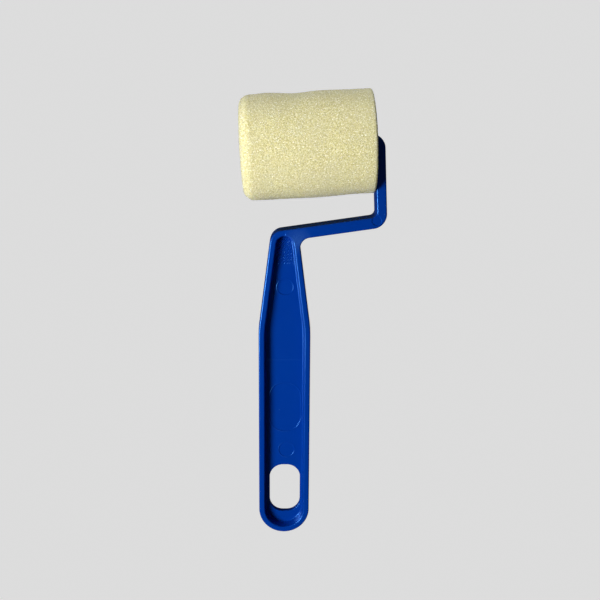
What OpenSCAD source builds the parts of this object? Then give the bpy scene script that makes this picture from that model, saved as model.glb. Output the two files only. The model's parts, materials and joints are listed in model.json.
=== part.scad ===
// Small foam paint roller on a one-piece moulded frame.
//
// The frame is one flat moulding: a handle hollowed on both faces, with a
// hanging hole, then a cranked arm, a leg and the axle. The roller is a foam
// sleeve on a core tube. It turns on the axle in two end bushes, and the
// axle's split snap tip holds it on.
//
// It is drawn as it lies on a table, on its sleeve and its handle's end.
// +X runs along the axle towards the leg, +Y away from the handle's end, +Z up.
// The origin is on the table, under the middle of the whole object.

/* [Sleeve] */
// Outside diameter of the foam
foam_d = 50; // [44:1:60]
// Length of the foam
foam_len = 62; // [58:1:70]
// Rounding of the foam's free end
foam_round = 2.6; // [1:0.2:5]
// Rounding of the foam's end beside the leg
foam_edge = 0.8; // [0.4:0.1:2]

/* [Core and bushes] */
// Outside diameter of the core tube, which is the bore of the foam
core_d = 22; // [18:1:26]
// Wall of the core tube
core_wall = 1.4; // [1:0.1:2]
// How far the core tube stops short of each end of the foam
core_inset = 0.5; // [0.1:0.1:2]
// Radial running clearance between the axle and the bushes
axle_play = 0.08; // [0.04:0.01:0.1]
// Outside diameter of a bush's hub
hub_d = 12.4; // [12:0.2:13]
// Length of a bush's hub, which is its bearing on the axle
hub_len = 8; // [6:0.5:10]
// Wall of a bush's web and skirt
bush_wall = 1.6; // [1.2:0.1:2]
// Length of a bush's skirt inside the core tube
skirt_len = 10; // [6:0.5:14]
// How deep the outer bush's web sits in the sleeve's free end
tip_recess = 6.5; // [6:0.5:10]

/* [Axle] */
// Diameter of the axle
axle_d = 8; // [6:0.5:9]
// How far the snap barb stands out from the axle, all round
barb_lip = 0.6; // [0.3:0.1:1]
// Length of the snap barb with its lead-in
barb_len = 3.6; // [3:0.2:5]
// Width of the slot that lets the tip squeeze in
slot_w = 1.8; // [1.2:0.2:2.4]
// Length of that slot
slot_len = 14; // [10:1:18]
// End float of the roller along the axle
end_float = 0.35; // [0.3:0.05:1]

/* [Arm and leg] */
// Depth of the frame, front face to back face
frame_depth = 13; // [11:0.5:16]
// Width of the arm, seen from the front
arm_w = 5.6; // [4:0.1:6.5]
// Width of the leg, seen from the front
leg_w = 5.1; // [4:0.1:6]
// Distance from the axle down to the arm's upper face, on the handle's line
arm_drop = 39.3; // [34:0.1:46]
// Slope of the arm against a line square to the handle
arm_slope = 8.3; // [4:0.1:12]
// Lean of the handle away from square to the axle
handle_lean = 3; // [0:0.2:6]
// Where the handle's line crosses the axle, from the sleeve's middle
handle_shift = -10.8; // [-16:0.1:-4]
// Rounding of the outer elbow
elbow_round = 7.2; // [5:0.2:8]
// Rounding of the inner elbow
inner_round = 2.6; // [1.6:0.2:4]

/* [Handle] */
// Width of the grip
grip_w = 25.8; // [22:0.2:30]
// Distance from the axle to the handle's end, along the handle
handle_reach = 197.5; // [170:0.5:230]
// Distance from the axle to the shoulder, where the neck meets the grip
shoulder_drop = 89.4; // [80:0.2:100]
// Slope of each side of the neck
neck_slope = 7.3; // [5:0.1:8]
// Rounding of the shoulder
shoulder_round = 45; // [20:5:60]
// Rounding of the handle's upper corner
crown_round = 6.5; // [4:0.5:7]
// Rounding between the neck and the arm
armpit_round = 4.8; // [3:0.2:6]
// Width of the rim around the recess
rim_w = 3; // [2:0.1:4]
// Width of the rim over the arched top of the recess
rim_top = 3; // [2:0.2:5]
// Depth of the recess in each face
recess_depth = 5; // [3:0.5:5]
// Width of the hanging hole
hole_w = 15.6; // [10:0.2:17]
// Height of the hanging hole
hole_h = 26; // [16:0.5:28]
// Rounding of the hanging hole's corners
hole_round = 6.8; // [3:0.2:7.6]
// Distance from the handle's end to the middle of the hanging hole
hole_up = 22.5; // [20:0.5:30]
// How far the hanging hole sits off the handle's middle line
hole_side = 0.4; // [-1:0.1:1]

/* [Hidden] */

frame_color = [0.02, 0.16, 0.52];
core_color = [0.88, 0.88, 0.86];
bush_color = [0.93, 0.93, 0.91];
foam_color = [0.90, 0.86, 0.66];

$fn = 96;
arc_step = 6;
overlap = 0.05;

// ---- Sleeve and axle, measured along the axle from the sleeve's middle ----

foam_end = foam_len / 2;
foam_r = foam_d / 2;
core_r = core_d / 2;
core_bore_r = core_r - core_wall;
core_end = foam_end - core_inset;
axle_r = axle_d / 2;
bush_bore_r = axle_r + axle_play;
leg_in = foam_end + end_float;
leg_out = leg_in + leg_w;
outer_web_x = tip_recess - foam_end;
barb_x = outer_web_x - end_float;
tip_x = barb_x - barb_len;
tip_taper = 1;
tip_r = axle_r - tip_taper;
tip_round = 0.6;
barb_land = 0.8;
hub_proud = 0.05;
hub_fillet = 0.5;

// The top of the leg rounds off over the root of the axle
leg_proud = 0.5;
leg_top = axle_r + leg_proud;
leg_shoulder = 0.9;
leg_round = 11.8;

// ---- Lines of the frame ----

// Those of the handle run across it and along it, from where it crosses the axle
grip_r = grip_w / 2;
arm_thick = arm_w / cos(arm_slope);

function neck_half(along) = grip_r - (shoulder_drop + along) * tan(neck_slope);

// Where one side of the neck meets a line that is drop below the arm's upper face
function neck_and_arm(side, drop) =
    let (
        reach = neck_half(-arm_drop - drop),
        across = side * reach / (1 + side * tan(arm_slope) * tan(neck_slope))
    )
    [across, across * tan(arm_slope) - arm_drop - drop];

// Turns the handle's lines into the axle's: along the axle, and square to it
function from_axle(p) = [
    handle_shift + p.x * cos(handle_lean) + p.y * sin(handle_lean),
    p.y * cos(handle_lean) - p.x * sin(handle_lean)
];

// Height of the arm's upper face at a place along the axle
arm_start = from_axle([0, -arm_drop]);
function arm_face(x) = arm_start.y + (x - arm_start.x) * tan(arm_slope - handle_lean);
arm_under = arm_w / cos(arm_slope - handle_lean);

// Each corner of an outline is a point and the radius that rounds it
outline = [
    [from_axle(neck_and_arm(-1, 0)), crown_round],
    [[leg_in, arm_face(leg_in)], inner_round],
    [[leg_in, leg_top], 0],
    [[leg_out, leg_shoulder], leg_round],
    [[leg_out, arm_face(leg_out) - arm_under], elbow_round],
    [from_axle(neck_and_arm(1, arm_thick)), armpit_round],
    [from_axle([grip_r, -shoulder_drop]), shoulder_round],
    [from_axle([grip_r, -handle_reach]), grip_r],
    [from_axle([-grip_r, -handle_reach]), grip_r],
    [from_axle([-grip_r, -shoulder_drop]), shoulder_round]
];

// The recess keeps a rim's width inside the handle, under an arched top
recess_top = -arm_drop - rim_top;
recess_half = neck_half(recess_top) - rim_w / cos(neck_slope);
recess_r = grip_r - rim_w;
recess_shoulder = -shoulder_drop - rim_w * tan(neck_slope / 2);
arch_fullness = 0.99;
arch_r = arch_fullness * recess_half / tan(45 - neck_slope / 2);

recess_outline = [
    [from_axle([-recess_half, recess_top]), arch_r],
    [from_axle([recess_half, recess_top]), arch_r],
    [from_axle([recess_r, recess_shoulder]), shoulder_round],
    [from_axle([recess_r, rim_w - handle_reach]), recess_r],
    [from_axle([-recess_r, rim_w - handle_reach]), recess_r],
    [from_axle([-recess_r, recess_shoulder]), shoulder_round]
];

// ---- How it lies ----

// The frame tips about the axle until the handle's end meets the table
end_centre = from_axle([0, grip_r - handle_reach]);
end_reach = grip_r - end_centre.y;
half_depth = frame_depth / 2;
rest_tilt = asin(foam_r / norm([end_reach, half_depth])) - atan(half_depth / end_reach);

// Middle of the whole object, seen from the middle of the sleeve
low_x = min(-foam_end, end_centre.x - grip_r);
low_y = -end_reach * cos(rest_tilt) - half_depth * sin(rest_tilt);
middle = [(low_x + leg_out) / 2, (low_y + foam_r) / 2];

// ---- Helpers ----

function unit(v) = v / norm(v);

function spun(v, angle) = [
    v.x * cos(angle) - v.y * sin(angle),
    v.x * sin(angle) + v.y * cos(angle)
];

// The points that round the corner at b, between its neighbours a and c
function corner_points(a, b, c, r) =
    let (
        along = unit(b - a),
        away = unit(c - b),
        bend = atan2(along.x * away.y - along.y * away.x, along * away),
        start = b - r * tan(abs(bend) / 2) * along,
        spoke = sign(bend) * r * [along.y, -along.x],
        steps = ceil(abs(bend) / arc_step)
    )
    r == 0 ? [b] : [for (i = [0 : steps]) start - spoke + spun(spoke, bend * i / steps)];

module rounded_polygon(corners) {
    count = len(corners);
    polygon([
        for (i = [0 : count - 1])
            let (
                before = corners[(i + count - 1) % count][0],
                after = corners[(i + 1) % count][0]
            )
            each corner_points(before, corners[i][0], after, corners[i][1])
    ]);
}

module rounded_rectangle(w, h, r) {
    square([w - 2 * r, h], center = true);
    square([w, h - 2 * r], center = true);
    for (x = [-1, 1], y = [-1, 1])
        translate([x * (w / 2 - r), y * (h / 2 - r)]) circle(r);
}

// A turned shape: each entry is a place along the axle, a radius and a rounding
module turned(profile) {
    rotate([0, 90, 0])
        rotate_extrude()
            rounded_polygon([for (p = profile) [[p[1], p[0]], p[2]]]);
}

// Places what is drawn about the axle, from the sleeve's middle
module on_table() {
    translate([-middle.x, -middle.y, foam_r]) children();
}

// ---- Frame ----

module hanging_hole() {
    translate(from_axle([hole_side, hole_up - handle_reach]))
        rotate([0, 0, -handle_lean])
            linear_extrude(2 * frame_depth, center = true)
                rounded_rectangle(hole_w, hole_h, hole_round);
}

// Handle, arm and leg
module flat_moulding() {
    difference() {
        linear_extrude(frame_depth, center = true) rounded_polygon(outline);
        for (face = [-half_depth, half_depth])
            translate([0, 0, face])
                linear_extrude(2 * recess_depth, center = true) rounded_polygon(recess_outline);
        hanging_hole();
    }
}

// The axle's tip is split, so that its barb can pass through the bushes
module axle() {
    difference() {
        turned([
            [tip_x, 0, 0],
            [tip_x, tip_r, tip_round],
            [barb_x - barb_land, axle_r + barb_lip, 0],
            [barb_x, axle_r + barb_lip, 0],
            [barb_x, axle_r, 0],
            [leg_in + overlap, axle_r, 0],
            [leg_in + overlap, 0, 0]
        ]);
        translate([tip_x + slot_len / 2 - overlap, 0, 0])
            cube([slot_len, slot_w, 2 * axle_d], center = true);
    }
}

module handle_frame() {
    color(frame_color)
        on_table()
            rotate([rest_tilt, 0, 0]) {
                flat_moulding();
                axle();
            }
}

// ---- Roller ----

module core_tube() {
    color(core_color)
        on_table()
            turned([
                [-core_end, core_bore_r, 0],
                [-core_end, core_r, 0],
                [core_end, core_r, 0],
                [core_end, core_bore_r, 0]
            ]);
}

// A plug for the core tube, with its web at x = 0 and its hub running to +X.
// The hub stands out of the web on the other side by hub_out.
module bush(hub_out) {
    skirt_in = core_bore_r - bush_wall;
    turned([
        [-hub_out, bush_bore_r, 0],
        [-hub_out, hub_d / 2, 0],
        [0, hub_d / 2, 0],
        [0, core_bore_r, 0],
        [skirt_len, core_bore_r, 0],
        [skirt_len, skirt_in, 0],
        [bush_wall, skirt_in, hub_fillet],
        [bush_wall, hub_d / 2, hub_fillet],
        [hub_len, hub_d / 2, 0],
        [hub_len, bush_bore_r, 0]
    ]);
}

module leg_side_bush() {
    color(bush_color)
        on_table()
            translate([core_end, 0, 0])
                rotate([0, 0, 180]) bush(core_inset);
}

module free_end_bush() {
    color(bush_color)
        on_table()
            translate([outer_web_x, 0, 0]) bush(hub_proud);
}

module foam_sleeve() {
    color(foam_color)
        on_table()
            turned([
                [-foam_end, core_r, 0],
                [-foam_end, foam_r, foam_round],
                [foam_end, foam_r, foam_edge],
                [foam_end, core_r, 0]
            ]);
}

handle_frame();
core_tube();
leg_side_bush();
free_end_bush();
foam_sleeve();
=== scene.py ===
import json
import math

import bmesh
import bpy
import numpy as np
from mathutils import Matrix, Vector
from mathutils.geometry import delaunay_2d_cdt


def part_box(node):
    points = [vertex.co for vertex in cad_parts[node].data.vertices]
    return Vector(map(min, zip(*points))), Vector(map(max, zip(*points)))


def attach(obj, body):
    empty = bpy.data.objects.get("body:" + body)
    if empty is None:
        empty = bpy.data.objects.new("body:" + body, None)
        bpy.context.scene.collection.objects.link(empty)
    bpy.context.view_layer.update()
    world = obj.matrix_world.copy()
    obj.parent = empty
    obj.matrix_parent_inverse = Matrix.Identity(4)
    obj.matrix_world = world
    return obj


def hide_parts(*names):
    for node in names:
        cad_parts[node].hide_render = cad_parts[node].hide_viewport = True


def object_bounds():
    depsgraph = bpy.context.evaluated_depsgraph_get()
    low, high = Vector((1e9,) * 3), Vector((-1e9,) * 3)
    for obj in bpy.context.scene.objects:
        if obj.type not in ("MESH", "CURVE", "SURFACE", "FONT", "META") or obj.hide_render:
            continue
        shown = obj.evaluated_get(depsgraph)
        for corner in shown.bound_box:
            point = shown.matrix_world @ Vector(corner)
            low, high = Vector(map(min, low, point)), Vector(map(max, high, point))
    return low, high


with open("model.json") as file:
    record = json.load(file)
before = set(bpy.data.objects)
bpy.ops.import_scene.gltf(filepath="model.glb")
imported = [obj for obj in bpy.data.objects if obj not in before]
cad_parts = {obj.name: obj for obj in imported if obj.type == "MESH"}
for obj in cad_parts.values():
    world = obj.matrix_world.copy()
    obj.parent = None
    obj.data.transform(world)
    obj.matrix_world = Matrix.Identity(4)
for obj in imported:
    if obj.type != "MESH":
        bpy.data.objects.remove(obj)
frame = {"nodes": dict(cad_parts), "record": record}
cad_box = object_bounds()

# A small foam paint roller, dressed over the CAD part's bodies.
#
# The frame is drawn in its own plane, in millimetres: X runs along the axle from the
# sleeve's middle, Y square to it in the frame's plane, and W out of the frame's face.
# The handle has its own lines in that plane: across it and along it, from where it
# crosses the axle.

MM = 0.001


# ---- What the CAD frame says ----

def mount(name):
    return next(m for m in frame["record"]["mounts"] if m["name"] == name)


sleeve_low, sleeve_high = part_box("foam_sleeve")
AXLE = (sleeve_low + sleeve_high) / 2
FOAM_END = (sleeve_high.x - sleeve_low.x) / 2 / MM
FOAM_R = (sleeve_high.z - sleeve_low.z) / 2 / MM
core_low, core_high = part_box("core_tube")
CORE_R = (core_high.z - core_low.z) / 2 / MM
HUB_FACE_X = (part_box("free_end_bush")[0].x - AXLE.x) / MM
HOLE_AXIS = mount("hanging_hole")["axis"]
TILT = math.atan2(-HOLE_AXIS[1], HOLE_AXIS[2])
LEG_OUT = (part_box("handle_frame")[1].x - AXLE.x) / MM

# ---- Sizes of the frame, as the CAD part has them ----

HALF_DEPTH = 6.5
ARM_W = 5.6
LEG_W = 5.1
LEG_IN = LEG_OUT - LEG_W
ARM_DROP = 39.3
ARM_SLOPE = math.radians(8.3)
LEAN = math.radians(3.0)
HANDLE_SHIFT = -10.8
ELBOW_ROUND = 7.2
INNER_ROUND = 2.6
GRIP_R = 12.9
HANDLE_REACH = 197.5
SHOULDER_DROP = 89.4
NECK_SLOPE = math.radians(7.3)
SHOULDER_ROUND = 45.0
CROWN_ROUND = 6.5
ARMPIT_ROUND = 4.8
RIM_W = 3.0
RIM_TOP = 3.0
FLOOR = 1.5
HOLE_W = 15.6
HOLE_H = 26.0
HOLE_ROUND = 6.8
HOLE_UP = 22.5
HOLE_SIDE = 0.4
AXLE_R = 4.0
BARB_LIP = 0.6
BARB_LEN = 3.6
SLOT_W = 1.8
SLOT_LEN = 14.0
END_FLOAT = 0.35
HUB_PROUD = 0.05      # how far the free end's bush stands out past its web

# The leg's top rounds off over the root of the axle, a little squarer than in the CAD part
LEG_TOP = 4.5
LEG_TOP_ROUND = 1.2
LEG_SHOULDER = 0.6
LEG_ROUND = 7.0

# ---- Sizes of the moulding's finish ----

EDGE = 0.6            # how far the outer edges' rounding reaches down
EDGE_REACH = 0.75     # and how far it reaches in across the face
WALL_DRAFT = 0.12     # how much the outer wall leans in, from parting line to face
FLASH = 0.05          # ridge left on the parting line
FLASH_TOP = 0.06      # half its width at its top
FLASH_FOOT = 0.2      # half its width at its foot
FLASH_FOOT_IN = 0.01  # how far its foot lies inside the outline
RIM_EDGE = 0.55       # how far the rim's rounding reaches down into the recess
RIM_EDGE_REACH = 0.6  # and how far it reaches out across the rim
RECESS_DRAFT = 0.45   # how much the recess closes in towards its floor
FLOOR_FILLET = 0.5    # fillet between the recess's wall and floor
HOLE_EDGE = 0.35      # rounding of the hanging hole's edges
ARM_RAISE = 0.35      # the arm's face stands this much above the handle's rim
ARM_RAISE_FROM = 0.3  # where it starts, across the handle
ARM_RAISE_DOWN = -47.7   # and how far down the handle it ends
RAISE_RAMP = 0.35     # width of the slope up to it
PIN_RAMP = 0.36       # width of the slope round an ejector pin's mark
ARCH_FULLNESS = 0.99  # share of the recess's top that its arch rounds

# ---- How finely the shapes are cut ----

ARC_STEP = math.radians(4)
OUTLINE_STEP = 1.5    # along straight runs
INSERT_STEP = 1.0     # round the maker's insert
SLOT_STEP = 2.0       # along the snap tip's slot
RAISE_STEP = 0.08     # along an outline where the raised face begins
RAISE_NEAR = 0.3      # how near to that it starts
RAISE_ABOVE = -60.0   # and how far down the handle it stops
RAISE_PATCH = 2.2     # half a side of the patches with a fine grid there
RAISE_GRID = 0.09
RAISE_CLEAR = 0.05    # gap kept between a grid and an edge of the face
HATCH_GRID = 0.19
FLOOR_GRID = 0.11     # grid over the floor's small step
FLOOR_CLEAR = 0.08    # gap kept between a grid and the recess's wall
RECESS_SPAN = 12      # half a grid's width, wider than the recess
HATCH_SPAN = 16       # how far the hatched floor's grid reaches
GRID_LEAD = 1         # how far a grid starts before what it is for
RAMP_STEPS = 3        # rings on each side of a mark's outline
TURNED_SIDES = 96     # sides of the axle and of the sleeve's bore
ARC_GAP = 0.01        # keeps the two arcs of a half-round end apart


# ---- Plane geometry ----

def unit(v):
    return v / np.linalg.norm(v)


def from_handle(across, along):
    """A point on the handle's lines, in the frame's plane."""
    return np.array([
        HANDLE_SHIFT + across * math.cos(LEAN) + along * math.sin(LEAN),
        along * math.cos(LEAN) - across * math.sin(LEAN),
    ])


def to_handle(points):
    """Points of the frame's plane as (across, along) the handle."""
    x, y = points[:, 0] - HANDLE_SHIFT, points[:, 1]
    return np.column_stack([
        x * math.cos(LEAN) - y * math.sin(LEAN),
        x * math.sin(LEAN) + y * math.cos(LEAN),
    ])


def to_row(points):
    """Points (X, Y, W) of the frame's plane, in millimetres, as row points in metres."""
    x, y, w = np.asarray(points, float).T
    return np.column_stack([
        AXLE.x + x * MM,
        AXLE.y + (y * math.cos(TILT) - w * math.sin(TILT)) * MM,
        AXLE.z + (y * math.sin(TILT) + w * math.cos(TILT)) * MM,
    ])


def smooth_step(t):
    t = np.clip(t, 0, 1)
    return t * t * (3 - 2 * t)


def stations(corners, spacing):
    """Points round a clockwise outline, and the outward direction at each. A corner is a
    point and the radius that rounds it; spacing(point) cuts the straight runs."""
    arcs = []
    for i, (corner, radius) in enumerate(corners):
        into = unit(corner - corners[i - 1][0])
        away = unit(corners[(i + 1) % len(corners)][0] - corner)
        bend = math.atan2(into[0] * away[1] - into[1] * away[0], into @ away)
        start = corner - radius * math.tan(abs(bend) / 2) * into
        spoke = math.copysign(radius, bend)
        centre = start + spoke * np.array([-into[1], into[0]])
        first = math.atan2(into[0], -into[1])
        steps = max(1, math.ceil(abs(bend) / ARC_STEP))
        arc = []
        for k in range(steps + 1):
            angle = first + bend * k / steps
            normal = np.array([math.cos(angle), math.sin(angle)])
            arc.append((centre - spoke * normal, normal))
        arcs.append(arc)
    found = []
    for i, arc in enumerate(arcs):
        found += arc
        (here, normal), (there, _) = arc[-1], arcs[(i + 1) % len(arcs)][0]
        length = np.linalg.norm(there - here)
        way = (there - here) / length
        gone = spacing(here)
        while gone < length - 0.5 * spacing(here + way * gone):
            found.append((here + way * gone, normal))
            gone += spacing(here + way * gone)
    return np.array([p for p, _ in found]), np.array([n for _, n in found])


def inside(points, loop):
    """Which of the points lie inside the closed loop."""
    x, y = points[:, :1], points[:, 1:2]
    ax, ay = loop[:, 0], loop[:, 1]
    bx, by = np.roll(ax, -1), np.roll(ay, -1)
    crosses = (ay > y) != (by > y)
    rise = np.where(by == ay, 1.0, by - ay)
    return (crosses & (x < ax + (y - ay) * (bx - ax) / rise)).sum(1) % 2 == 1


def distance_to(points, loop):
    """Distance from each point to the closed loop."""
    a, b = loop, np.roll(loop, -1, axis=0)
    run = b - a
    t = ((points[:, None] - a) * run).sum(2) / (run * run).sum(1)
    near = a + np.clip(t, 0, 1)[:, :, None] * run
    return np.linalg.norm(points[:, None] - near, axis=2).min(1)


def every(step):
    """Cuts straight runs evenly."""
    return lambda point: step


def circle(centre, radius, count=72):
    angle = np.arange(count) * 2 * math.pi / count
    return np.asarray(centre) + radius * np.column_stack([np.cos(angle), np.sin(angle)])


def grid(low, high, step):
    xs = np.arange(low[0], high[0], step)
    ys = np.arange(low[1], high[1], step)
    return np.array([(x, y) for x in xs for y in ys])


def shade_smooth(mesh):
    mesh.polygons.foreach_set("use_smooth", [True] * len(mesh.polygons))


def face_outward(mesh):
    """Turns a closed mesh's faces outward, and shades them smoothly."""
    turned = bmesh.new()
    turned.from_mesh(mesh)
    bmesh.ops.recalc_face_normals(turned, faces=turned.faces)
    turned.to_mesh(mesh)
    turned.free()
    shade_smooth(mesh)


def join_rings(made, rings):
    """Walls between each ring of a bmesh's points and the next."""
    for a, b in zip(rings, rings[1:]):
        for i in range(len(a)):
            made.faces.new((a[i - 1], a[i], b[i], b[i - 1]))


NO_POINTS = np.zeros((0, 2))


class Shell:
    """A closed surface in the frame's plane, built from rings, walls and filled flats."""

    def __init__(self):
        self.points = np.zeros((0, 3))
        self.faces = []

    def add(self, xy, w):
        start = len(self.points)
        added = np.column_stack([xy, np.broadcast_to(w, len(xy))])
        self.points = np.vstack([self.points, added])
        return np.arange(start, start + len(xy))

    def wall(self, rings):
        """Joins each ring to the next."""
        for a, b in zip(rings, rings[1:]):
            for i in range(len(a)):
                self.faces.append((a[i - 1], a[i], b[i], b[i - 1]))

    def fill(self, outer, holes, rings, loose, height):
        """Fills between the outer ring and the holes. rings and loose are further points
        inside, and height(points) says how high they lie."""
        edge_loops = [outer, *holes]
        known = np.concatenate(edge_loops)
        flat = [self.points[known, :2], *rings, loose]
        edges, start = [], 0
        for loop in [*edge_loops, *rings]:
            count = len(loop)
            edges += [(start + i, start + (i + 1) % count) for i in range(count)]
            start += count
        coords = np.vstack(flat)
        made = delaunay_2d_cdt([Vector(p) for p in coords], edges, [], 1, 1e-5)
        places = np.array([v[:] for v in made[0]])
        index = np.full(len(places), -1)
        for i, sources in enumerate(made[3]):
            old = [s for s in sources if s < len(known)]
            if old:
                index[i] = known[old[0]]
        fresh = np.flatnonzero(index < 0)
        index[fresh] = self.add(places[fresh], height(places[fresh]))
        triangles = np.array(made[2])
        middles = places[triangles].mean(1)
        keep = inside(middles, self.points[outer, :2])
        for hole in holes:
            keep &= ~inside(middles, self.points[hole, :2])
        self.faces += [tuple(index[t]) for t in triangles[keep]]

    def mesh(self, name):
        made = bpy.data.meshes.new(name)
        made.from_pydata(to_row(self.points).tolist(), [], [list(map(int, f)) for f in self.faces])
        face_outward(made)
        return made


def new_object(name, mesh):
    made = bpy.data.objects.new(name, mesh)
    bpy.context.scene.collection.objects.link(made)
    return made


def applied(obj):
    """Turns the object's modifiers into its mesh."""
    graph = bpy.context.evaluated_depsgraph_get()
    graph.update()
    mesh = bpy.data.meshes.new_from_object(obj.evaluated_get(graph))
    obj.modifiers.clear()
    obj.data = mesh
    return obj


def cut(obj, tool, operation):
    """A boolean with another object, which is used up."""
    step = obj.modifiers.new("cut", "BOOLEAN")
    step.operation = operation
    step.object = tool
    step.solver = "EXACT"
    applied(obj)
    bpy.data.objects.remove(tool)
    return obj


def quarter(steps=6):
    """Angles of a quarter turn, from 0 to 90 degrees."""
    return [math.pi / 2 * i / steps for i in range(steps + 1)]


# ---- The frame's moulding ----

def neck_half(along):
    return GRIP_R - (SHOULDER_DROP + along) * math.tan(NECK_SLOPE)


def neck_and_arm(side, drop):
    """Where one side of the neck meets a line that is drop below the arm's upper face."""
    slope = math.tan(ARM_SLOPE)
    across = side * neck_half(-ARM_DROP - drop) / (1 + side * slope * math.tan(NECK_SLOPE))
    return from_handle(across, across * slope - ARM_DROP - drop)


def arm_face(x):
    start = from_handle(0, -ARM_DROP)
    return start[1] + (x - start[0]) * math.tan(ARM_SLOPE - LEAN)


def frame_outline():
    arm_under = ARM_W / math.cos(ARM_SLOPE - LEAN)
    point = np.array
    return [
        (neck_and_arm(-1, 0), CROWN_ROUND),
        (point([LEG_IN, arm_face(LEG_IN)]), INNER_ROUND),
        (point([LEG_IN, LEG_TOP]), LEG_TOP_ROUND),
        (point([LEG_OUT, LEG_SHOULDER]), LEG_ROUND),
        (point([LEG_OUT, arm_face(LEG_OUT) - arm_under]), ELBOW_ROUND),
        (neck_and_arm(1, ARM_W / math.cos(ARM_SLOPE)), ARMPIT_ROUND),
        (from_handle(GRIP_R, -SHOULDER_DROP), SHOULDER_ROUND),
        (from_handle(GRIP_R, -HANDLE_REACH), GRIP_R - ARC_GAP),
        (from_handle(-GRIP_R, -HANDLE_REACH), GRIP_R - ARC_GAP),
        (from_handle(-GRIP_R, -SHOULDER_DROP), SHOULDER_ROUND),
    ]


def recess_outline():
    top = -ARM_DROP - RIM_TOP
    half = neck_half(top) - RIM_W / math.cos(NECK_SLOPE)
    arch = ARCH_FULLNESS * half / math.tan(math.radians(45) - NECK_SLOPE / 2)
    side = GRIP_R - RIM_W
    shoulder = -SHOULDER_DROP - RIM_W * math.tan(NECK_SLOPE / 2)
    foot = RIM_W - HANDLE_REACH
    return [
        (from_handle(-half, top), arch),
        (from_handle(half, top), arch),
        (from_handle(side, shoulder), SHOULDER_ROUND),
        (from_handle(side, foot), side - ARC_GAP),
        (from_handle(-side, foot), side - ARC_GAP),
        (from_handle(-side, shoulder), SHOULDER_ROUND),
    ]


def oblong_outline(centre, width, height, radius):
    """A clockwise rounded rectangle, square to the handle."""
    across, along = centre
    w, h = width / 2, height / 2
    corners = [(-w, h), (w, h), (w, -h), (-w, -h)]
    return [(from_handle(across + x, along + y), radius) for x, y in corners]


def raise_at(points):
    """How far the arm's face stands above the handle's rim."""
    across, along = to_handle(points).T
    right = smooth_step((across - ARM_RAISE_FROM) / RAISE_RAMP + 0.5)
    above = smooth_step((along - ARM_RAISE_DOWN) / RAISE_RAMP + 0.5)
    return ARM_RAISE * right * above


def edge_spacing(point):
    """Straight runs are cut finely where the arm's raised face begins."""
    across, along = to_handle(np.array([point]))[0]
    near = min(abs(along - ARM_RAISE_DOWN), abs(across - ARM_RAISE_FROM))
    return RAISE_STEP if near < RAISE_NEAR and along > RAISE_ABOVE else OUTLINE_STEP


# Marks that ejector pins and inserts leave: (across, along, radius)
ELBOW_PIN = (43.96, -34.67, 2.54)
UPPER_PIN = (0.3, -68.2, 4.15)
LOWER_PIN = (1.2, -153.6, 4.1)
PIN_DEPTH = 0.2
PIN_RIDGE = 0.08      # height of the flash round a mark
ELBOW_PIN_DEPTH = 0.34
ELBOW_PIN_TAPER = 0.45   # how much smaller the elbow's mark is at its bottom
ELBOW_PIN_FLARE = 0.1    # how much wider its cutter is above the face
# The maker's insert, left blank: middle, width, height and corner radius
INSERT_AT = (0.45, -130.6)
INSERT_W = 15.9
INSERT_H = 26.0
INSERT_ROUND = 7.3
# Tool marks on the raised floor under the arch, and how far down the handle they end
HATCH_FROM = -56.7
HATCH_RAISE = 0.22
HATCH_PITCH = 1.0
HATCH_DEPTH = 0.17
# A small step in the floor further down
FLOOR_STEP_AT = -105.7
FLOOR_STEP = 0.12
# The floor's marks fade out over this distance from the wall's fillet
WALL_MARGIN = 0.35


def dip(depth):
    """The height of a mark's floor and flash, depth millimetres inside its outline."""
    flash = PIN_RIDGE * (1 - smooth_step(abs(depth) / PIN_RAMP))
    return flash - PIN_DEPTH * smooth_step(depth / PIN_RAMP)


def pin_dip(points, pin):
    across, along, radius = pin
    return dip(radius - np.linalg.norm(points - from_handle(across, along), axis=1))


def insert_stations():
    return stations(oblong_outline(INSERT_AT, INSERT_W, INSERT_H, INSERT_ROUND),
                    every(INSERT_STEP))


def ramp_offsets():
    """How far inside a mark's outline each ring of its slope lies."""
    return [PIN_RAMP * k / RAMP_STEPS for k in range(-RAMP_STEPS, RAMP_STEPS + 1)]


def insert_dip(points):
    insert, _ = insert_stations()
    gap = distance_to(points, insert)
    return dip(np.where(inside(points, insert), gap, -gap))


def pin_rings(pin):
    across, along, radius = pin
    centre = from_handle(across, along)
    return [circle(centre, radius - offset) for offset in ramp_offsets()]


def floor_stations(depth):
    """The recess's outline where its wall has closed in by depth."""
    points, outward = stations(recess_outline(), every(OUTLINE_STEP))
    return points - depth * outward


def front_floor(points):
    """Height of the front recess's floor."""
    across, along = to_handle(points).T
    wall = floor_stations(RECESS_DRAFT + FLOOR_FILLET)
    away = smooth_step(distance_to(points, wall) / WALL_MARGIN)
    hatched = smooth_step((along - HATCH_FROM) / PIN_RAMP)
    stripes = np.cos((across - along) / math.sqrt(2) / HATCH_PITCH * 2 * math.pi)
    lift = hatched * (HATCH_RAISE + HATCH_DEPTH * stripes)
    lift += FLOOR_STEP * smooth_step((along - FLOOR_STEP_AT) / PIN_RAMP) * (1 - hatched)
    lift += insert_dip(points) + pin_dip(points, UPPER_PIN) + pin_dip(points, LOWER_PIN)
    return FLOOR + away * lift


def back_floor(points):
    """Height of the back recess's floor, which is plain apart from the blank insert."""
    return -FLOOR - insert_dip(points)


def clear_of(points, loops, margin):
    """The points that keep a margin from every loop."""
    for loop in loops:
        points = points[distance_to(points, loop) > margin]
    return points


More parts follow.
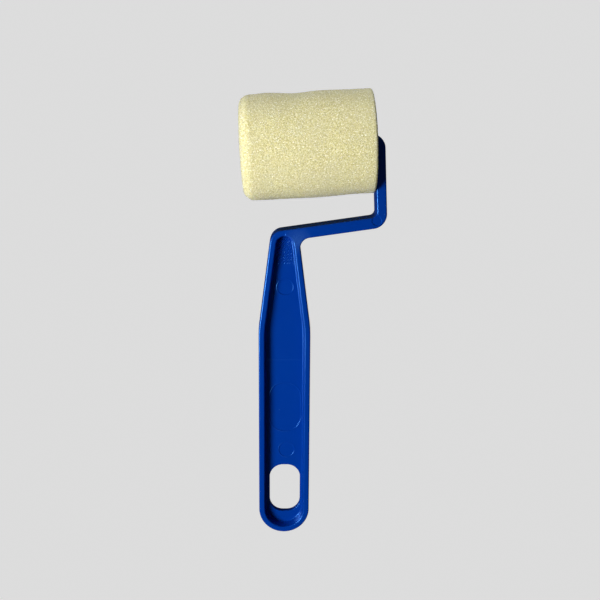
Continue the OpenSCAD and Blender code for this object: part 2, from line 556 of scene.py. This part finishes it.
def handle_moulding():
    """Handle, arm and leg, with both faces' recesses and the hanging hole."""
    shell = Shell()
    edge, outward = stations(frame_outline(), edge_spacing)
    lift = raise_at(edge)

    def outer_ring(d, w):
        return shell.add(edge + d * outward, w + lift * max(w, 0) / HALF_DEPTH)

    rows = [(-WALL_DRAFT - EDGE_REACH * (1 - math.sin(a)),
             HALF_DEPTH - EDGE * (1 - math.cos(a))) for a in quarter()]
    rows += [(-WALL_DRAFT / 2, HALF_DEPTH / 2), (-FLASH_FOOT_IN, FLASH_FOOT), (FLASH, FLASH_TOP)]
    rows += [(d, -w) for d, w in reversed(rows)]
    outer = [outer_ring(d, w) for d, w in rows]
    shell.wall(outer)

    rim, rim_outward = stations(recess_outline(), edge_spacing)
    rim_lift = raise_at(rim)

    def recess_ring(d, w, side):
        share = max(0, (w - FLOOR) / (HALF_DEPTH - FLOOR)) if side > 0 else 0
        return shell.add(rim + d * rim_outward, side * (w + rim_lift * share))

    rows = [(RIM_EDGE_REACH * (1 - math.sin(a)), HALF_DEPTH - RIM_EDGE * (1 - math.cos(a)))
            for a in quarter()]
    rows += [(-RECESS_DRAFT - FLOOR_FILLET * (1 - math.cos(a)),
              FLOOR + FLOOR_FILLET * (1 - math.sin(a))) for a in quarter()]
    recesses = {}
    for side in (1, -1):
        recesses[side] = [recess_ring(d, w, side) for d, w in rows]
        shell.wall(recesses[side])

    hole_at = oblong_outline((HOLE_SIDE, HOLE_UP - HANDLE_REACH), HOLE_W, HOLE_H, HOLE_ROUND)
    hole, hole_outward = stations(hole_at, every(OUTLINE_STEP))
    rows = [(HOLE_EDGE * (1 - math.sin(a)), FLOOR - HOLE_EDGE * (1 - math.cos(a)))
            for a in quarter(4)]
    rows += [(d, -w) for d, w in reversed(rows)]
    hole_rings = [shell.add(hole + d * hole_outward, w) for d, w in rows]
    shell.wall(hole_rings)

    fill_front(shell, outer[0], recesses[1][0])
    shell.fill(outer[-1], [recesses[-1][0]], [], NO_POINTS, lambda p: -HALF_DEPTH)
    fill_floors(shell, recesses, hole_rings)
    return shell.mesh("handle_frame_moulding")


def fill_front(shell, outer, rim):
    """The front face, with the arm's raised face."""
    edges = [shell.points[loop, :2] for loop in (outer, rim)]
    near_arch = from_handle(ARM_RAISE_FROM, -ARM_DROP - RIM_TOP / 2)
    near_step = from_handle(neck_half(ARM_RAISE_DOWN) - RIM_W / 2, ARM_RAISE_DOWN)
    loose = np.vstack([grid(spot - RAISE_PATCH, spot + RAISE_PATCH, RAISE_GRID)
                       for spot in (near_arch, near_step)])
    keep = inside(loose, edges[0]) & ~inside(loose, edges[1])
    loose = clear_of(loose[keep], edges, RAISE_CLEAR)
    shell.fill(outer, [rim], [], loose, lambda p: HALF_DEPTH + raise_at(p))


def fill_floors(shell, recesses, hole_rings):
    """Both recess floors, down to the hanging hole's edge."""
    insert_edge, insert_outward = insert_stations()
    insert_rings = [insert_edge - offset * insert_outward for offset in ramp_offsets()]
    rings = insert_rings + pin_rings(UPPER_PIN) + pin_rings(LOWER_PIN)
    front, back = recesses[1][-1], recesses[-1][-1]
    wall = shell.points[front, :2]
    hatch_at = from_handle(0, HATCH_FROM - GRID_LEAD)
    hatched = grid(hatch_at - [RECESS_SPAN, 0], hatch_at + [RECESS_SPAN, HATCH_SPAN], HATCH_GRID)
    step_at = from_handle(0, FLOOR_STEP_AT)
    around = [RECESS_SPAN, GRID_LEAD]
    fine = np.vstack([hatched, grid(step_at - around, step_at + around, FLOOR_GRID)])
    fine = fine[inside(fine, wall)]
    fine = clear_of(fine, [wall], FLOOR_CLEAR)
    shell.fill(front, [hole_rings[0]], rings, fine, front_floor)
    shell.fill(back, [hole_rings[-1]], insert_rings, NO_POINTS, back_floor)


# ---- The axle with its split snap tip ----

NOSE_TAPER = 1        # how much thinner the axle is at its tip
NOSE_ROUND = 0.5
NOSE_SWELL = 0.05
BARB_LAND = 0.7       # the flat round the barb's widest part
LAND_EASE = 0.2
LAND_DROP = 0.05
BARB_EASE = 0.12      # bevel of the barb's edges
ROOT_FILLET = 0.28    # where the axle meets the leg
ROOT_WAIST = 0.1
ROOT_RISE = 0.08
ROOT_LAP = 0.02
ROOT_IN = 1.2         # how far the axle reaches into the leg
OVERCUT = 2           # how far a cutter goes past what it cuts
SLOT_CORNER = 0.1
SLOT_REACH = 8        # half the slot cutter's depth


def lathe(name, profile):
    """Turns (x, radius) points about the axle, closed at both ends."""
    made = bmesh.new()
    rings = []
    angles = [2 * math.pi * i / TURNED_SIDES for i in range(TURNED_SIDES)]
    for x, radius in profile:
        points = [(x, radius * math.cos(a), radius * math.sin(a)) for a in angles]
        rings.append([made.verts.new(p) for p in to_row(points)])
    join_rings(made, rings)
    made.faces.new(rings[0])
    made.faces.new(rings[-1])
    mesh = bpy.data.meshes.new(name)
    made.to_mesh(mesh)
    made.free()
    face_outward(mesh)
    return new_object(name, mesh)


def slot_cutter(tip):
    """The slot between the snap tip's two prongs, with a round bottom."""
    shell = Shell()
    half = SLOT_W / 2
    far = tip + SLOT_LEN
    near = tip - OVERCUT
    corners = [(near, half), (far, half), (far, -half), (near, -half)]
    radii = [SLOT_CORNER, half - ARC_GAP, half - ARC_GAP, SLOT_CORNER]
    outline = [(np.array(c), r) for c, r in zip(corners, radii)]
    points, _ = stations(outline, every(SLOT_STEP))
    reach = (-SLOT_REACH, SLOT_REACH)
    sides = [shell.add(points, w) for w in reach]
    shell.wall(sides)
    for side, w in zip(sides, reach):
        shell.fill(side, [], [], NO_POINTS, lambda p, w=w: w)
    return new_object("slot_cutter", shell.mesh("slot_cutter"))


def elbow_pin_cutter():
    """What an ejector pin leaves in the elbow, where it bites into the rounded edge too."""
    across, along, radius = ELBOW_PIN
    shell = Shell()
    low = HALF_DEPTH + ARM_RAISE - ELBOW_PIN_DEPTH
    high = low + OVERCUT
    ring = circle(from_handle(across, along), 1)
    centre = ring.mean(0)
    rows = [(-ELBOW_PIN_TAPER, low), (0.0, low + ELBOW_PIN_DEPTH), (ELBOW_PIN_FLARE, high)]
    sides = [shell.add(centre + (ring - centre) * (radius + spread), w) for spread, w in rows]
    shell.wall(sides)
    for side, w in ((sides[0], low), (sides[-1], high)):
        shell.fill(side, [], [], NO_POINTS, lambda p, w=w: w)
    return new_object("elbow_pin_cutter", shell.mesh("elbow_pin_cutter"))


def axle():
    barb = HUB_FACE_X + HUB_PROUD - END_FLOAT
    tip = barb - BARB_LEN
    nose = AXLE_R - NOSE_TAPER
    lip = AXLE_R + BARB_LIP
    profile = [
        (tip, nose - NOSE_ROUND),
        (tip + 0.3 * NOSE_ROUND, nose - 0.3 * NOSE_ROUND),
        (tip + NOSE_ROUND, nose + NOSE_SWELL),
        (barb - BARB_LAND - LAND_EASE, lip - LAND_DROP),
        (barb - BARB_LAND, lip),
        (barb - BARB_EASE, lip),
        (barb, lip - BARB_EASE),
        (barb, AXLE_R + BARB_EASE),
        (barb + BARB_EASE, AXLE_R),
        (LEG_IN - ROOT_FILLET, AXLE_R),
        (LEG_IN - ROOT_WAIST, AXLE_R + ROOT_RISE),
        (LEG_IN + ROOT_LAP, AXLE_R + ROOT_FILLET),
        (LEG_IN + ROOT_IN, AXLE_R + ROOT_FILLET),
    ]
    return cut(lathe("axle", profile), slot_cutter(tip), "DIFFERENCE")


SHARP_ANGLE = math.radians(35)
NORMAL_WEIGHT = 50


def handle_frame():
    made = new_object("handle_frame_shell", handle_moulding())
    made.data.materials.append(blue_plastic())
    cut(made, axle(), "UNION")
    cut(made, elbow_pin_cutter(), "DIFFERENCE")
    shade_smooth(made.data)
    made.data.set_sharp_from_angle(angle=SHARP_ANGLE)
    weigh = made.modifiers.new("face normals", "WEIGHTED_NORMAL")
    weigh.mode = "FACE_AREA_WITH_ANGLE"
    weigh.weight = NORMAL_WEIGHT
    weigh.keep_sharp = True
    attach(made, "frame")
    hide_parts("handle_frame")
    return made


# ---- The foam sleeve ----

CELL = 0.72           # distance between the foam's cells
ROW = CELL * 0.87     # distance between their rows
ROUND_JITTER = 0.33   # how far a cell strays round the sleeve, in cells
ALONG_JITTER = 0.3    # and along it, in rows
PORE_DEPTH = 0.42     # how far a cell's middle lies below its rim
PORE_RANGE = (0.45, 1.2)   # the shallowest and deepest cell, as shares of that
ROUGHNESS = 0.06      # spread of the skin's own unevenness
FREE_ROUND = 4.4
END_BULGE = 0.5       # how far the free end swells out of its plane
BULGE_LEAN = 1.5      # puts the most of it nearer to the rim
BULGE_FADE = 4        # how far in from the end it fades out
LEG_EDGE_ROUND = 1.0
PROFILE_STEP = 0.05

# The sleeve's wear: a dent in its top, and its free end and its underside worn thinner
DENT = 0.75
DENT_AT = -5
DENT_WIDTH = 8
TOP_WEAR = 0.4
TOP_WEAR_FROM = -18
TOP_WEAR_RUN = 8
LOW_WEAR = 0.8
LOW_WEAR_FROM = -4
LOW_WEAR_RUN = 32
SHRINK = 0.1          # how much thinner it is all over
SHORT_WAVE = 0.07
SHORT_WAVE_RUN = 4.5
SHORT_WAVE_TWIST = 3
LONG_WAVE = 0.06
LONG_WAVE_RUN = 9

# The skin is laid out flat to find its cells, with an overlap at the seam
SEAM_OVERLAP = 0.35
LAYOUT_SCALE = 40


def sleeve_profile():
    """(x, radius) along the sleeve's skin, from bore to bore, in short steps."""
    def arc(x, radius, r, start):
        return [(x + r * math.cos(start - a), radius + r * math.sin(start - a))
                for a in quarter(8)]

    left = arc(-FOAM_END + FREE_ROUND, FOAM_R - FREE_ROUND, FREE_ROUND, math.pi)
    right = arc(FOAM_END - LEG_EDGE_ROUND, FOAM_R - LEG_EDGE_ROUND, LEG_EDGE_ROUND, math.pi / 2)
    corners = [(-FOAM_END, CORE_R), *left, *right, (FOAM_END, CORE_R)]
    path = [np.array(corners[0])]
    for a, b in zip(corners, corners[1:]):
        a, b = np.array(a), np.array(b)
        steps = max(1, int(np.linalg.norm(b - a) / PROFILE_STEP))
        path += [a + (b - a) * (k + 1) / steps for k in range(steps)]
    return np.array(path)


def sleeve_cells(random):
    """Cell middles over the sleeve's skin as (angle, place along the profile)."""
    path = sleeve_profile()
    run = np.concatenate([[0], np.cumsum(np.linalg.norm(np.diff(path, axis=0), axis=1))])
    rows = int(run[-1] / ROW)
    angles, places = [], []
    for row in range(rows + 1):
        place = run[-1] * row / rows
        radius = np.interp(place, run, path[:, 1])
        edge = row in (0, rows)
        count = TURNED_SIDES if edge else round(2 * math.pi * radius / CELL)
        angle = (np.arange(count) + (0 if edge else random.random())) * 2 * math.pi / count
        if not edge:
            angle = angle + random.uniform(-ROUND_JITTER, ROUND_JITTER, count) * CELL / radius
            place = place + random.uniform(-ALONG_JITTER, ALONG_JITTER, count) * ROW
        angles.append(angle % (2 * math.pi))
        places.append(np.broadcast_to(place, count))
    return path, run, np.concatenate(angles), np.concatenate(places)


def sleeve_swell(x, angle):
    """How far the sleeve's skin stands off a true cylinder: worn thin here and there."""
    up_side = np.clip(np.cos(angle), 0, 1)
    low_side = np.clip(-np.cos(angle), 0, 1)
    top = -DENT * np.exp(-((x - DENT_AT) / DENT_WIDTH) ** 2)
    top -= TOP_WEAR * smooth_step((TOP_WEAR_FROM - x) / TOP_WEAR_RUN)
    low = -LOW_WEAR * smooth_step((x - LOW_WEAR_FROM) / LOW_WEAR_RUN)
    waves = SHORT_WAVE * np.sin(x / SHORT_WAVE_RUN + SHORT_WAVE_TWIST * np.sin(angle))
    waves += LONG_WAVE * np.cos(2 * angle + x / LONG_WAVE_RUN)
    return up_side * top + low_side * low + waves - SHRINK


def foam_sleeve():
    random = np.random.default_rng(7)
    path, run, angle, place = sleeve_cells(random)
    # An even map of the skin, where a turned surface keeps the shape of its cells
    stretch = np.concatenate([[0], np.cumsum(np.diff(run) / (0.5 * (path[1:, 1] + path[:-1, 1])))])
    level = np.interp(place, run, stretch)
    count = len(angle)
    low = np.flatnonzero(angle < SEAM_OVERLAP)
    high = np.flatnonzero(angle > 2 * math.pi - SEAM_OVERLAP)
    source = np.concatenate([np.arange(count), low, high])
    flat = np.column_stack([
        np.concatenate([angle, angle[low] + 2 * math.pi, angle[high] - 2 * math.pi]),
        level[source],
    ])
    made = delaunay_2d_cdt([Vector(p) for p in flat * LAYOUT_SCALE], [], [], 0, 1e-6)
    origin = np.array([s[0] for s in made[3]])
    triangles = origin[np.array(made[2])]
    middle = flat[triangles].mean(1)
    return build_foam(random, path, stretch, flat, source, triangles, middle, count)


def build_foam(random, path, stretch, flat, source, triangles, middle, count):
    """Each cell is a fan from its sunken middle to its raised rim."""
    whole = (middle[:, 0] >= 0) & (middle[:, 0] < 2 * math.pi)
    same = {tuple(sorted(source[triangles[i]])): i for i in np.flatnonzero(whole)}
    rims = {key: count + k for k, key in enumerate(same)}
    kept = np.array(list(same.values()))

    across = {}
    for key, i in same.items():
        a, b, c = source[triangles[i]]
        for edge in ((a, b), (b, c), (c, a)):
            across.setdefault(tuple(sorted(edge)), []).append(rims[key])
    faces = []
    for (a, b), rim in across.items():
        if len(rim) == 2:
            faces += [(a, rim[0], rim[1]), (b, rim[1], rim[0])]
        else:
            faces.append((a, b, rim[0]))

    spots = np.vstack([flat[:count], middle[kept]])
    x = np.interp(spots[:, 1], stretch, path[:, 0])
    radius = np.interp(spots[:, 1], stretch, path[:, 1])
    slope_x = np.interp(spots[:, 1], stretch, np.gradient(path[:, 0], stretch))
    slope_r = np.interp(spots[:, 1], stretch, np.gradient(path[:, 1], stretch))
    length = np.hypot(slope_x, slope_r)
    out_x, out_r = -slope_r / length, slope_x / length
    pore = np.zeros(len(spots))
    pore[:count] = random.uniform(*PORE_RANGE, count)
    rough = random.normal(0, ROUGHNESS, len(spots))
    edge = (spots[:, 1] < 1e-6) | (spots[:, 1] > stretch[-1] - 1e-6)
    sunk = np.where(edge, 0, rough - pore * PORE_DEPTH)
    x = x + out_x * sunk
    from_core = np.clip((radius - CORE_R) / (FOAM_R - CORE_R), 0, 1)
    bulge = END_BULGE * np.sin(math.pi * from_core ** BULGE_LEAN)
    x = x - bulge * smooth_step((-FOAM_END + BULGE_FADE - x) / BULGE_FADE)
    swell = sleeve_swell(x, spots[:, 0]) * smooth_step(from_core)
    radius = radius + out_r * sunk + swell
    faces += bore_faces(count, spots, edge, stretch)
    points = to_row(np.column_stack([
        x, radius * np.cos(spots[:, 0]), radius * np.sin(spots[:, 0])]))

    mesh = bpy.data.meshes.new("foam_sleeve_skin")
    mesh.from_pydata(points.tolist(), [], [tuple(map(int, f)) for f in faces])
    # Each point's pore depth, which the foam's colour also darkens by, as painted shade
    depth = mesh.attributes.new("pore", "FLOAT", "POINT")
    depth.data.foreach_set("value", np.where(edge, 0, pore).astype(np.float32))
    face_outward(mesh)
    made = new_object("foam_sleeve_skin", mesh)
    made.data.materials.append(foam_material())
    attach(made, "roller")
    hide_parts("foam_sleeve")
    return made


def bore_faces(count, spots, edge, stretch):
    """The plain bore, between the two end rings of points."""
    ends = np.flatnonzero(edge[:count])
    left = [i for i in ends if spots[i, 1] < stretch[-1] / 2]
    right = [i for i in ends if spots[i, 1] > stretch[-1] / 2]
    left.sort(key=lambda i: spots[i, 0])
    right.sort(key=lambda i: spots[i, 0])
    return [(left[i - 1], left[i], right[i], right[i - 1]) for i in range(len(left))]


# ---- Materials ----

class Nodes:
    """A short way to write a material's nodes."""

    def __init__(self, name):
        self.material = bpy.data.materials.new(name)
        self.material.use_nodes = True
        self.tree = self.material.node_tree
        self.shader = self.tree.nodes["Principled BSDF"]
        place = self.tree.nodes.new("ShaderNodeTexCoord").outputs["Object"]
        self.place = self.mapped(place, 1 / MM)

    def link(self, source, target):
        self.tree.links.new(source, target)

    def mapped(self, source, scale):
        node = self.tree.nodes.new("ShaderNodeVectorMath")
        node.operation = "SCALE"
        node.inputs["Scale"].default_value = scale
        self.link(source, node.inputs[0])
        return node.outputs["Vector"]

    def noise(self, size, detail=3.0):
        """Noise with grains of about size millimetres."""
        node = self.tree.nodes.new("ShaderNodeTexNoise")
        node.inputs["Scale"].default_value = 1 / size
        node.inputs["Detail"].default_value = detail
        self.link(self.place, node.inputs["Vector"])
        return node.outputs["Fac"]

    def cells(self, size):
        """Distance to the middle of the nearest of cells about size millimetres wide."""
        node = self.tree.nodes.new("ShaderNodeTexVoronoi")
        node.inputs["Scale"].default_value = 1 / size
        self.link(self.place, node.inputs["Vector"])
        return node.outputs["Distance"]

    def remap(self, source, from_low, from_high, to_low, to_high):
        node = self.tree.nodes.new("ShaderNodeMapRange")
        values = (from_low, from_high, to_low, to_high)
        for name, value in zip(("From Min", "From Max", "To Min", "To Max"), values):
            node.inputs[name].default_value = value
        self.link(source, node.inputs["Value"])
        return node.outputs["Result"]

    def mix(self, share, a, b):
        """From colour a to colour b as share goes from 0 to 1."""
        node = self.tree.nodes.new("ShaderNodeMix")
        node.data_type = "RGBA"
        self.link(share, node.inputs["Factor"])
        for value, name in ((a, "A"), (b, "B")):
            target = next(s for s in node.inputs if s.name == name and s.type == "RGBA")
            if isinstance(value, tuple):
                target.default_value = (*value, 1)
            else:
                self.link(value, target)
        return next(s for s in node.outputs if s.type == "RGBA")

    def calculate(self, operation, a, b):
        node = self.tree.nodes.new("ShaderNodeMath")
        node.operation = operation
        for value, target in ((a, node.inputs[0]), (b, node.inputs[1])):
            if isinstance(value, (int, float)):
                target.default_value = value
            else:
                self.link(value, target)
        return node.outputs["Value"]

    def near(self, spot, reach):
        """1 at a spot of the frame's plane, fading to 0 at reach millimetres from it."""
        node = self.tree.nodes.new("ShaderNodeVectorMath")
        node.operation = "DISTANCE"
        node.inputs[1].default_value = to_row([spot])[0] / MM
        self.link(self.place, node.inputs[0])
        return self.remap(node.outputs["Value"], 0, reach, 1.0, 0.0)

    def attribute(self, name):
        node = self.tree.nodes.new("ShaderNodeAttribute")
        node.attribute_name = name
        return node.outputs["Fac"]

    def bump(self, height, depth, after=None):
        """A bump of depth millimetres."""
        node = self.tree.nodes.new("ShaderNodeBump")
        node.inputs["Distance"].default_value = depth * MM
        self.link(height, node.inputs["Height"])
        if after is not None:
            self.link(after, node.inputs["Normal"])
        return node.outputs["Normal"]

    def set(self, **values):
        for name, value in values.items():
            socket = self.shader.inputs[name.replace("_", " ")]
            if isinstance(value, tuple):
                socket.default_value = (*value, 1)
            elif isinstance(value, (int, float)):
                socket.default_value = value
            else:
                self.link(value, socket)


# Where the moulding is painted paler, part scuff and part painted highlight, between the arm and
# the neck, and how far round
SCUFF_AND_SHEEN_AT = (*from_handle(6.5, -44.5), HALF_DEPTH)
SCUFF_AND_SHEEN_REACH = 7.5

BLUE = (0.0, 0.032, 0.274)
PALER_BLUE = (0.0, 0.036, 0.292)
SPECK = (0.05, 0.13, 0.42)
SCUFF_AND_SHEEN = (0.05, 0.15, 0.46)
BLUE_SHEEN = (0.10, 0.40, 1.0)
FOAM_STRUT = (0.79, 0.73, 0.37)
FOAM_PORE_SHADE = (0.42, 0.36, 0.11)
FOAM_DUSTY = (0.66, 0.61, 0.34)
FOAM_GLINT = (1.0, 0.98, 0.82)
CORE_WHITE = (0.86, 0.86, 0.84)
BUSH_WHITE = (0.90, 0.90, 0.88)
FLOOR_GREY = (0.34, 0.34, 0.34)
PALER_GREY = (0.36, 0.36, 0.36)


def blue_plastic():
    """Semi-gloss blue polypropylene, as moulded, with a pale patch by the armpit that is part
    scuff and part painted highlight.
    """
    made = Nodes("blue plastic")
    colour = made.mix(made.noise(14), BLUE, PALER_BLUE)
    specks = made.remap(made.cells(6.0), 0.02, 0.045, 1.0, 0.0)
    colour = made.mix(specks, colour, SPECK)
    gloss = made.remap(made.noise(5, 3), 0.3, 0.7, 0.21, 0.26)
    grain = made.bump(made.noise(0.6, 3), 0.0025)
    sag = made.bump(made.noise(18, 1), 0.03, after=grain)
    # A pale patch between the arm and the neck: part scuff, part painted highlight
    patchy = made.remap(made.noise(0.4, 6), 0.3, 0.75, 0.0, 0.8)
    scuff_and_sheen = made.calculate("MULTIPLY", made.near(SCUFF_AND_SHEEN_AT, SCUFF_AND_SHEEN_REACH), patchy)
    colour = made.mix(scuff_and_sheen, colour, SCUFF_AND_SHEEN)
    made.set(Base_Color=colour, Roughness=gloss, IOR=1.62, Specular_Tint=BLUE_SHEEN, Normal=sag)
    made.shader.inputs["Specular IOR Level"].default_value = 0.7
    return made.material


def foam_material():
    """Cream open-cell foam: pale struts, pores darkened by their depth with painted shade and by
    random tone, and painted glints.
    """
    made = Nodes("cream foam")
    # Painted shade: the deeper a pore, the darker its colour, mixed with random tone
    pore = made.attribute("pore")
    fine = made.remap(made.noise(0.7, 3), 0.3, 0.7, -0.5, 0.6)
    pore_shade_and_tone = made.calculate("ADD", made.calculate("MULTIPLY", pore, 0.9), fine)
    colour = made.mix(pore_shade_and_tone, FOAM_STRUT, FOAM_PORE_SHADE)
    broad = made.remap(made.noise(14, 2), 0.35, 0.65, 0.0, 0.5)
    colour = made.mix(broad, colour, FOAM_DUSTY)
    glint = made.remap(made.noise(0.5, 1), 0.58, 0.68, 0.0, 1.0)
    colour = made.mix(glint, colour, FOAM_GLINT)
    gloss = made.remap(glint, 0.0, 1.0, 0.8, 0.3)
    cells = made.bump(made.cells(0.42), 0.12)
    made.set(Base_Color=colour, Roughness=gloss, Normal=cells)
    made.shader.inputs["Subsurface Weight"].default_value = 0.5
    made.shader.inputs["Subsurface Radius"].default_value = (1.0, 0.9, 0.6)
    made.shader.inputs["Subsurface Scale"].default_value = 0.008
    made.shader.inputs["Specular IOR Level"].default_value = 0.4
    return made.material


def white_plastic(name, tint):
    """Matt moulded plastic, for the pieces inside the sleeve."""
    made = Nodes(name)
    darker = tuple(0.93 * c for c in tint)
    colour = made.mix(made.noise(6), tint, darker)
    grain = made.bump(made.noise(0.4, 3), 0.01)
    gloss = made.remap(made.noise(2), 0.3, 0.7, 0.42, 0.58)
    made.set(Base_Color=colour, Roughness=gloss, Normal=grain)
    return made.material


# ---- Camera, light and floor ----

# The camera's place and what it looks at: across, along and above the handle
CAMERA_AT = (-1.40, 17.99, 405.6)
LOOK_AT = (7.64, -75.10, 0.0)
CAMERA_ROLL = math.radians(0.41)
CAMERA_LENS = 50.4
SENSOR_W = 36
NEAREST = 0.01
FARTHEST = 20

# The floor's flat part and the sweep up from it, as radii in metres
FLOOR_FLAT = 3.0
SWEEP = 2.0
SWEEP_STEPS = 12
FLOOR_GLOW = 0.72
WORLD_COLOUR = (0.022, 0.032, 0.044, 1)


def handle_place(across, along, w):
    """A place given across, along and above the handle, in the row frame."""
    x, y = from_handle(across, along)
    return Vector(to_row([(x, y, w)])[0])


def camera():
    data = bpy.data.cameras.new("camera")
    data.lens = CAMERA_LENS
    data.sensor_width = SENSOR_W
    made = bpy.data.objects.new("camera", data)
    bpy.context.scene.collection.objects.link(made)
    bpy.context.scene.camera = made
    place = handle_place(*CAMERA_AT)
    back = (place - handle_place(*LOOK_AT)).normalized()
    along = handle_place(0, 1, 0) - handle_place(0, 0, 0)
    right = along.cross(back).normalized()
    upright = Matrix((right, back.cross(right), back)).transposed()
    made.matrix_world = (Matrix.Translation(place) @ upright.to_4x4()
                         @ Matrix.Rotation(CAMERA_ROLL, 4, "Z"))
    data.clip_start = NEAREST
    data.clip_end = FARTHEST


def area_light(name, azimuth, elevation, distance, size, power, only=None):
    """Azimuth 0 is on the +X side, 90 on the +Y side. only limits what the light reaches."""
    data = bpy.data.lights.new(name, "AREA")
    data.shape = "DISK"
    data.size = size
    data.energy = power
    made = bpy.data.objects.new(name, data)
    bpy.context.scene.collection.objects.link(made)
    a, e = math.radians(azimuth), math.radians(elevation)
    way = Vector((math.cos(a) * math.cos(e), math.sin(a) * math.cos(e), math.sin(e)))
    centre = (cad_box[0] + cad_box[1]) / 2
    made.location = centre + way * distance
    made.rotation_mode = "QUATERNION"
    made.rotation_quaternion = way.to_track_quat("Z", "Y")
    if only:
        reached = bpy.data.collections.new(name)
        reached.objects.link(only)
        made.light_linking.receiver_collection = reached


def floor():
    """A pale floor that sweeps up into a pale wall all round."""
    built = bmesh.new()
    rings = []
    rows = [(FLOOR_FLAT + SWEEP * math.sin(a), SWEEP * (1 - math.cos(a)))
            for a in quarter(SWEEP_STEPS)]
    rows.append((FLOOR_FLAT + SWEEP, SWEEP + 2 * FLOOR_FLAT))
    for radius, height in rows:
        around = circle((0, 0), radius)
        rings.append([built.verts.new((x, y, height)) for x, y in around])
    built.faces.new(rings[0])
    join_rings(built, rings)
    mesh = bpy.data.meshes.new("floor")
    built.to_mesh(mesh)
    built.free()
    shade_smooth(mesh)
    made = new_object("floor", mesh)
    paper = Nodes("pale floor")
    colour = paper.mix(paper.noise(40), FLOOR_GREY, PALER_GREY)
    paper.set(Base_Color=colour, Roughness=0.9, Emission_Strength=FLOOR_GLOW)
    paper.shader.inputs["Emission Color"].default_value = (1, 1, 1, 1)
    made.data.materials.append(paper.material)
    made.visible_glossy = False
    made.visible_diffuse = False


def light(sleeve):
    area_light("key", azimuth=191, elevation=47, distance=0.6, size=0.27, power=4.75)
    area_light("front fill", azimuth=255, elevation=30, distance=1.4, size=0.6, power=0.8)
    # Foam lets light through, so its shaded sides stay pale
    area_light("foam fill back", azimuth=92, elevation=22, distance=0.8, size=0.7, power=3.6,
               only=sleeve)
    area_light("foam fill front", azimuth=268, elevation=22, distance=0.8, size=0.7, power=0.9,
               only=sleeve)
    world = bpy.data.worlds.new("world")
    world.use_nodes = True
    sky = world.node_tree.nodes["Background"]
    sky.inputs["Color"].default_value = WORLD_COLOUR
    sky.inputs["Strength"].default_value = 1.0
    bpy.context.scene.world = world
    bpy.context.scene.view_settings.view_transform = "Standard"


# ---- The scene ----

camera()
handle_frame()
sleeve = foam_sleeve()

core_plastic = white_plastic("core plastic", CORE_WHITE)
bush_plastic = white_plastic("bush plastic", BUSH_WHITE)
inner_pieces = (
    ("core_tube", core_plastic, "core_plastic"),
    ("leg_side_bush", bush_plastic, "bush_plastic"),
    ("free_end_bush", bush_plastic, "bush_plastic"),
)
for node, material, slot in inner_pieces:
    made = frame["nodes"][node]
    made.data.materials.clear()
    made.data.materials.append(material)

floor()
light(sleeve)
